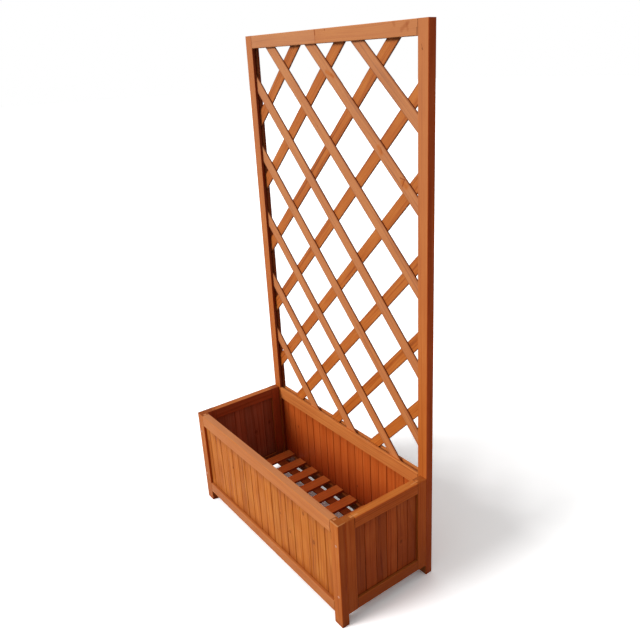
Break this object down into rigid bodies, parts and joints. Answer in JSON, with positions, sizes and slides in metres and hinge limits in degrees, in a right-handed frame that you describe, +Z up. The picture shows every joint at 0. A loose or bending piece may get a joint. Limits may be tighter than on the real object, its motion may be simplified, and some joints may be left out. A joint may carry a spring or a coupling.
{
  "type": "planter with trellis",
  "caption": "Long wooden floor planter on short feet, with grooved frame walls of upright boards, a slatted floor and a tall lattice trellis rising from its back frame.",
  "frame": {"origin": "on the floor, under the centre of the planter's footprint", "axes": "+Z up, +X along the planter to the right as seen from the front, +Y from the front face to the trellis at the back"},
  "size_m": [0.7, 0.3, 1.35],
  "materials": {
    "frame_timber": "satin orange-brown stain on planed softwood",
    "panel_board": "satin orange-brown stain on planed softwood boards",
    "lattice_slat": "satin orange-brown stain on thin sawn slats",
    "floor_timber": "satin orange-brown stain on planed softwood slats",
    "screw_zinc": "bright zinc plate"
  },
  "bodies": {
    "root": {"back_boards": "panel_board", "back_bottom_rail": "frame_timber", "back_left_stile": "frame_timber", "back_middle_rail": "frame_timber", "back_right_stile": "frame_timber", "back_screws": "screw_zinc", "floor_back_batten": "floor_timber", "floor_front_batten": "floor_timber", "floor_slat_1": "floor_timber", "floor_slat_10": "floor_timber", "floor_slat_2": "floor_timber", "floor_slat_3": "floor_timber", "floor_slat_4": "floor_timber", "floor_slat_5": "floor_timber", "floor_slat_6": "floor_timber", "floor_slat_7": "floor_timber", "floor_slat_8": "floor_timber", "floor_slat_9": "floor_timber", "front_boards": "panel_board", "front_bottom_rail": "frame_timber", "front_left_leg": "frame_timber", "front_right_leg": "frame_timber", "front_screws": "screw_zinc", "front_top_rail": "frame_timber", "lattice_back_slat_1": "lattice_slat", "lattice_back_slat_2": "lattice_slat", "lattice_back_slat_3": "lattice_slat", "lattice_back_slat_4": "lattice_slat", "lattice_back_slat_5": "lattice_slat", "lattice_back_slat_6": "lattice_slat", "lattice_back_slat_7": "lattice_slat", "lattice_back_slat_8": "lattice_slat", "lattice_front_slat_1": "lattice_slat", "lattice_front_slat_2": "lattice_slat", "lattice_front_slat_3": "lattice_slat", "lattice_front_slat_4": "lattice_slat", "lattice_front_slat_5": "lattice_slat", "lattice_front_slat_6": "lattice_slat", "lattice_front_slat_7": "lattice_slat", "lattice_front_slat_8": "lattice_slat", "left_side_back_stile": "frame_timber", "left_side_board_1": "panel_board", "left_side_board_2": "panel_board", "left_side_board_3": "panel_board", "left_side_board_4": "panel_board", "left_side_bottom_rail": "frame_timber", "left_side_front_stile": "frame_timber", "left_side_top_rail": "frame_timber", "right_side_back_stile": "frame_timber", "right_side_board_1": "panel_board", "right_side_board_2": "panel_board", "right_side_board_3": "panel_board", "right_side_board_4": "panel_board", "right_side_bottom_rail": "frame_timber", "right_side_front_stile": "frame_timber", "right_side_top_rail": "frame_timber", "trellis_top_rail": "frame_timber"}
  },
  "joints": []
}
